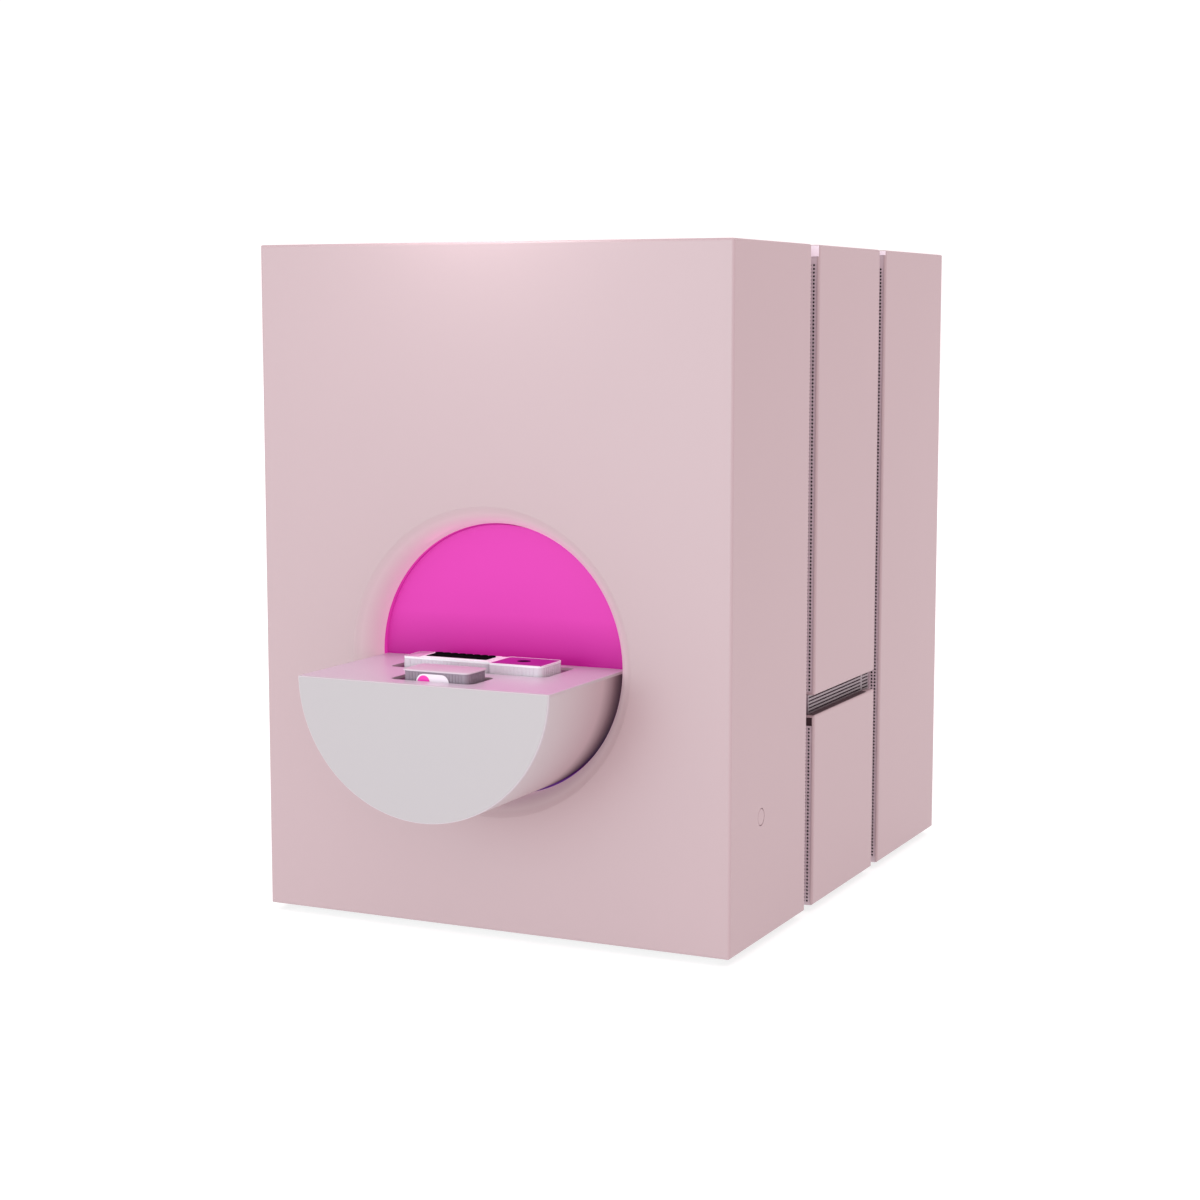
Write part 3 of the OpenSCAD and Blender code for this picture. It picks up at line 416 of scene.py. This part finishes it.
def pick_edges(piece, rule):
    """Edit mode, with the edges chosen whose two ends the rule accepts."""
    bpy.ops.object.mode_set(mode="EDIT")
    bpy.ops.mesh.select_mode(type="EDGE")
    bpy.ops.mesh.select_all(action="DESELECT")
    bpy.ops.object.mode_set(mode="OBJECT")
    points = piece.data.vertices
    for edge in piece.data.edges:
        edge.select = rule(points[edge.vertices[0]].co, points[edge.vertices[1]].co)
    bpy.ops.object.mode_set(mode="EDIT")

def upright(a, b):
    """Whether an edge stands upright."""
    return abs(a.x - b.x) < 1e-6 and abs(a.y - b.y) < 1e-6

def round_upright(piece, radius, segments=6):
    """Rounds the upright edges of a box."""
    pick_edges(piece, upright)
    bpy.ops.mesh.bevel(offset=radius, segments=segments, affect="EDGES")
    bpy.ops.object.mode_set(mode="OBJECT")

def soften(piece, z, radius, segments=3):
    """Rounds the rim at one height."""
    pick_edges(piece, lambda a, b: abs(a.z - z) < 1e-6 and abs(b.z - z) < 1e-6)
    bpy.ops.mesh.bevel(offset=radius, segments=segments, affect="EDGES")
    bpy.ops.object.mode_set(mode="OBJECT")

def smooth(piece, angle=35):
    """Smooth shading that keeps the sharp edges."""
    leave_edit()
    piece.select_set(True)
    bpy.context.view_layer.objects.active = piece
    bpy.ops.object.shade_smooth_by_angle(angle=radians(angle))

def join_into(main, others):
    """Joins pieces into one, with their places kept."""
    leave_edit()
    for other in others:
        other.select_set(True)
    main.select_set(True)
    bpy.context.view_layer.objects.active = main
    bpy.ops.object.join()
    return main

def wear(piece, finish, body):
    """Gives a piece its finish and the body that carries it."""
    piece.data.materials.clear()
    piece.data.materials.append(finish)
    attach(piece, body)
    return piece

# %% [markdown]
# ## The cell tray and its lid
# The tray in the front pocket is a small carton of smoky plastic with upright ribs, closed by a
# thin pink lid. The ribs could be a bump in the finish, but they catch the light on the skyline of
# the tray, so they are real here: one rib is shaped and then copied along the walls.

# %% Sizes read from the frame
tray_low, tray_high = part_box("cell_tray")
lid_low, lid_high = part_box("cell_lid")
case_low, case_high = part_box("cartridge_body")
top_low, top_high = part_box("cartridge_frame")
wells_low, wells_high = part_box("well_block")
film_low, film_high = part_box("cartridge_film")
print("tray", [round(v / MM, 1) for v in tray_high - tray_low], "mm")

# %% A rib, and a row of its copies
def upright_rib(name, x, y, low, high, width, depth):
    """A slim bar with its two outer upright edges rounded off."""
    rib = box_piece(name, (x - width / 2, y - depth, low), (x + width / 2, y + depth, high))
    pick_edges(rib, upright)
    bpy.ops.mesh.bevel(offset=width * 0.3, segments=1, affect="EDGES")
    bpy.ops.object.mode_set(mode="OBJECT")
    return rib

def copies(first, offsets):
    """Copies of a piece, each with its own mesh, moved by each offset in turn."""
    made = []
    for offset in offsets:
        leave_edit()
        first.select_set(True)
        bpy.context.view_layer.objects.active = first
        bpy.ops.object.duplicate()
        twin = bpy.context.object
        bpy.ops.transform.translate(value=offset)
        bpy.ops.object.transform_apply(location=True, rotation=True, scale=True)
        made.append(twin)
    return made

def ribbed_walls(name, low, high, pitch, width, depth, margin):
    """Ribs along the four walls of a box."""
    count_x = int((high.x - low.x - 2 * margin) / pitch)
    count_y = int((high.y - low.y - 2 * margin) / pitch)
    start_x = (low.x + high.x - count_x * pitch) / 2
    start_y = (low.y + high.y - count_y * pitch) / 2
    rib = upright_rib(name, start_x, low.y, low.z, high.z, width, depth)
    row = [rib] + copies(rib, [(pitch * i, 0, 0) for i in range(1, count_x + 1)])
    row += copies(rib, [(pitch * i, high.y - low.y, 0) for i in range(count_x + 1)])
    side = upright_rib(name + "_side", low.x, start_y, low.z, high.z, depth * 2, width / 2)
    row += [side] + copies(side, [(0, pitch * i, 0) for i in range(1, count_y + 1)])
    row += copies(side, [(high.x - low.x, pitch * i, 0) for i in range(count_y + 1)])
    return join_into(row[0], row[1:])

# %% The tray
WALL = 1.2 * MM
tray = box_piece("smoky_tray", tray_low + Vector((0.6, 0.6, 0)) * MM, tray_high - Vector((0.6, 0.6, 0)) * MM)
round_upright(tray, 5 * MM)
pick_faces(tray, lambda face: face.normal.z > 0.9)
bpy.ops.mesh.inset(thickness=WALL)
bpy.ops.mesh.extrude_region_move(TRANSFORM_OT_translate={"value": (0, 0, -30 * MM)})
bpy.ops.object.mode_set(mode="OBJECT")
tray_ribs = ribbed_walls("tray_ribs", tray_low + Vector((0.6, 0.6, 1)) * MM,
                         tray_high - Vector((0.6, 0.6, 1.2)) * MM, 3.6 * MM, 0.9 * MM, 0.5 * MM, 6 * MM)
smoky_tray = join_into(tray, [tray_ribs])
smooth(smoky_tray)
wear(smoky_tray, smoky_wall, "cell_tray")
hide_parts("cell_tray")
print("tray triangles:", len(smoky_tray.data.polygons))

# %% The lid
tray_lid = box_piece("tray_lid", lid_low, lid_high)
round_upright(tray_lid, 6 * MM, 8)
soften(tray_lid, lid_high.z, 0.9 * MM)
soften(tray_lid, lid_low.z, 0.3 * MM, 2)
smooth(tray_lid)
wear(tray_lid, lid_pink, "cell_lid")
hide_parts("cell_lid")

# %% [markdown]
# ## The tray's label
# The label on the front wall is a white pill with a round magenta spot at its left end. A pill is
# quickly made from a disc: cut it down the middle and pull its right half away.

# %% The label
PILL_R = 8.8 * MM
PILL_SPAN = 20.5 * MM
PILL_X = -10 * MM
PILL_Z = DECK_Z - 1.4 * MM
label_y = tray_low.y

def pill(name, radius, span, x, y, z, thick):
    """A flat pill that faces the front."""
    leave_edit()
    bpy.ops.mesh.primitive_cylinder_add(vertices=48, radius=radius, depth=thick,
                                        location=(x, y - thick / 2, z), rotation=(radians(90), 0, 0))
    piece = keep_place(bpy.context.object, name)
    for point in piece.data.vertices:
        point.select = False
    if span > 0:
        bpy.ops.object.mode_set(mode="EDIT")
        bpy.ops.mesh.select_all(action="SELECT")
        bpy.ops.mesh.bisect(plane_co=(x, y, z), plane_no=(1, 0, 0))
        bpy.ops.mesh.select_all(action="DESELECT")
        bpy.ops.object.mode_set(mode="OBJECT")
        for point in piece.data.vertices:
            if point.co.x > x + 1e-6:
                point.select = True
        bpy.ops.object.mode_set(mode="EDIT")
        bpy.ops.mesh.select_mode(type="VERT")
        bpy.ops.transform.translate(value=(span, 0, 0))
        bpy.ops.object.mode_set(mode="OBJECT")
    smooth(piece)
    return piece

label = pill("tray_label", PILL_R, PILL_SPAN, PILL_X, label_y, PILL_Z, 0.3 * MM)
spot = pill("label_spot", PILL_R * 0.82, 0, PILL_X, label_y - 0.3 * MM, PILL_Z, 0.12 * MM)
wear(label, label_white, "cell_tray")
wear(spot, spot_magenta, "cell_tray")
print("label", round((2 * PILL_R + PILL_SPAN) / MM, 1), "mm wide")

# %% [markdown]
# ## The reagent cartridge
# The cartridge is a clear ribbed case with a white top. Its left part carries eight black wells in
# a raised white frame. Its right part is deeper, and a magenta film with a round hole seals it.
# The case is a hollow shell, because clear plastic looks solid and dull with no inner wall.

# %% The clear case, in two parts
SPLIT_X = film_low.x - 3 * MM
STEP = 5 * MM
CASE_TOP = top_low.z

def hollow_case(name, low, high, radius):
    """An open box with round corners, one thin wall and ribs."""
    case = box_piece(name, low, high)
    round_upright(case, radius, 8)
    pick_faces(case, lambda face: face.normal.z > 0.99)
    bpy.ops.mesh.inset(thickness=1.2 * MM)
    bpy.ops.mesh.extrude_region_move(TRANSFORM_OT_translate={"value": (0, 0, -25 * MM)})
    bpy.ops.object.mode_set(mode="OBJECT")
    ribs = ribbed_walls(name + "_ribs", low + Vector((0, 0, 1)) * MM, high - Vector((0, 0, 0.6)) * MM,
                        4.5 * MM, 1.0 * MM, 0.45 * MM, 8 * MM)
    return join_into(case, [ribs])

left_case = hollow_case("left_case", Vector((case_low.x, case_low.y + STEP, case_low.z)),
                        Vector((SPLIT_X, case_high.y - STEP, CASE_TOP)), 5 * MM)
right_case = hollow_case("right_case", Vector((SPLIT_X, case_low.y + 0.5 * MM, case_low.z)),
                         Vector((case_high.x, case_high.y - 0.5 * MM, CASE_TOP)), 6 * MM)
clear_case = join_into(left_case, [right_case])
clear_case.name = "clear_case"
smooth(clear_case)
wear(clear_case, clear_wall, "cartridge")
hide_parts("cartridge_body")
print("case faces:", len(clear_case.data.polygons))

# %% The pale grip at the left end, and a dark disc as painted shade in the film's hole
PLATE_Z = film_high.z + 0.1 * MM
grip = box_piece("pale_grip", (case_low.x + 1.2 * MM, case_low.y + STEP + 1.2 * MM, PLATE_Z - 1 * MM),
                 (wells_low.x - 6 * MM, case_high.y - STEP - 1.2 * MM, PLATE_Z + 0.25 * MM))
round_upright(grip, 3.8 * MM, 6)
soften(grip, PLATE_Z + 0.25 * MM, 0.2 * MM, 2)
smooth(grip)
wear(grip, cap_pale, "cartridge")

HOLE = Vector((53 * MM, FRONT_Y - 19 * MM, film_low.z))
bpy.ops.mesh.primitive_cylinder_add(vertices=48, radius=7.3 * MM, depth=0.3 * MM, location=HOLE)
hole_shade = keep_place(bpy.context.object, "hole_shade")
smooth(hole_shade)
wear(hole_shade, hole_shade_plum, "cartridge")
print("hole at", [round(v, 4) for v in HOLE])

# %% Black seals over the wells
# Each seal is a disc, and a bar joins the eight of them in front, so the rear edge is scalloped.
WELLS = 8
WELL_PITCH = 9 * MM
WELLS_X = (wells_low.x + wells_high.x) / 2
SEAL_TOP = top_high.z + 0.5 * MM
SEAL_R = 4.4 * MM
SEAL_T = 1.5 * MM
SEAL_INSET = 0.8 * MM
seal_back = wells_high.y - SEAL_INSET - SEAL_R
half_row = (WELLS - 1) / 2 * WELL_PITCH
discs = []
for place in range(WELLS):
    bpy.ops.mesh.primitive_cylinder_add(vertices=32, radius=SEAL_R, depth=SEAL_T, location=(
        WELLS_X - half_row + place * WELL_PITCH, seal_back, SEAL_TOP))
    discs.append(keep_place(bpy.context.object, "well_seal"))
bar = box_piece("well_bar", (WELLS_X - half_row - SEAL_R, wells_low.y + SEAL_INSET, SEAL_TOP - SEAL_T),
                (WELLS_X + half_row + SEAL_R, seal_back, SEAL_TOP))
well_seals = join_into(bar, discs)
well_seals.name = "well_seals"
smooth(well_seals)
wear(well_seals, well_black, "cartridge")
print("seals over", WELLS, "wells at", round(WELL_PITCH / MM, 1), "mm")

# %% [markdown]
# ## Grooves, vents and the slot
# The vent strips are thin plates full of holes. Behind each one lies a thin black sheet, painted
# shade for the dark inside, so the holes read as black dots. A pale strip along the top of each
# groove's wall is painted light where light falls in from above, and a dark strip on the slot's ledge is
# painted shade.

# %% Black sheets behind the vents: painted shade for the dark inside
shade_sheets = []
for name in [n for n in nodes if n.startswith("vent_")]:
    low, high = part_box(name)
    shade_sheets.append(box_piece("shade_sheet_" + name, (low.x + 0.2 * MM, high.y + 0.1 * MM, low.z + 0.2 * MM),
                          (high.x - 0.2 * MM, high.y + 0.5 * MM, high.z - 0.2 * MM)))
vent_shade_sheet = join_into(shade_sheets[0], shade_sheets[1:])
vent_shade_sheet.name = "vent_shade_sheet"
wear(vent_shade_sheet, black_shade_sheet, "cabinet")
print("foam sheets:", len(shade_sheets))

# %% Pale strips at the tops of the grooves: painted light falling in from above
middle_low, middle_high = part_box("middle_cover")
chassis_low, chassis_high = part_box("chassis")
STRIP_EDGE = 0.9 * MM

def groove_light_strip(name, y, depth):
    """A thin pale strip on a groove's wall, across the whole top: painted light from above."""
    light_strip = box_piece(name, (middle_low.x + STRIP_EDGE, y - 0.3 * MM, TOP_Z - depth),
                     (middle_high.x - STRIP_EDGE, y - 0.05 * MM, TOP_Z - STRIP_EDGE))
    wear(light_strip, pale_light_strip, "cabinet")
    return light_strip

groove_light_strip("light_strip_front", middle_low.y, TOP_Z - chassis_high.z - 1 * MM)
groove_light_strip("light_strip_rear", rear_low.y, 5.7 * MM)

# %% Dark strips on the slot's ledge and below its end: painted shade
TRIM = 1.0 * MM
DIVIDER = 25 * MM
WEB_INNER, WEB_OUTER = 0.3 * MM, 3.2 * MM
for side in ("right", "left"):
    right = side == "right"
    ledge_low, ledge_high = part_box("lower_panel_" + side)
    slot_low, slot_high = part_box("louvre_" + side)
    low_x, high_x = (slot_high.x, ledge_high.x - TRIM) if right else (ledge_low.x + TRIM, slot_low.x)
    ledge_shade = box_piece("ledge_shade_" + side, (low_x, ledge_low.y + TRIM, ledge_high.z + 0.05 * MM),
                       (high_x, ledge_high.y - DIVIDER, ledge_high.z + 0.35 * MM))
    wear(ledge_shade, ledge_shade_plum, "cabinet")
    low_gap, high_gap = (WEB_INNER, WEB_OUTER) if right else (WEB_OUTER, WEB_INNER)
    shade_web = box_piece("shade_web_" + side,
                    (ledge_low.x + low_gap, ledge_low.y + 4.7 * MM, ledge_high.z - 15.7 * MM),
                    (ledge_high.x - high_gap, ledge_low.y + 4.95 * MM, ledge_high.z - WEB_OUTER))
    wear(shade_web, ledge_shade_plum, "cabinet")
print("gasket ends", round(ledge_shade.dimensions.y / MM), "mm along the slot")
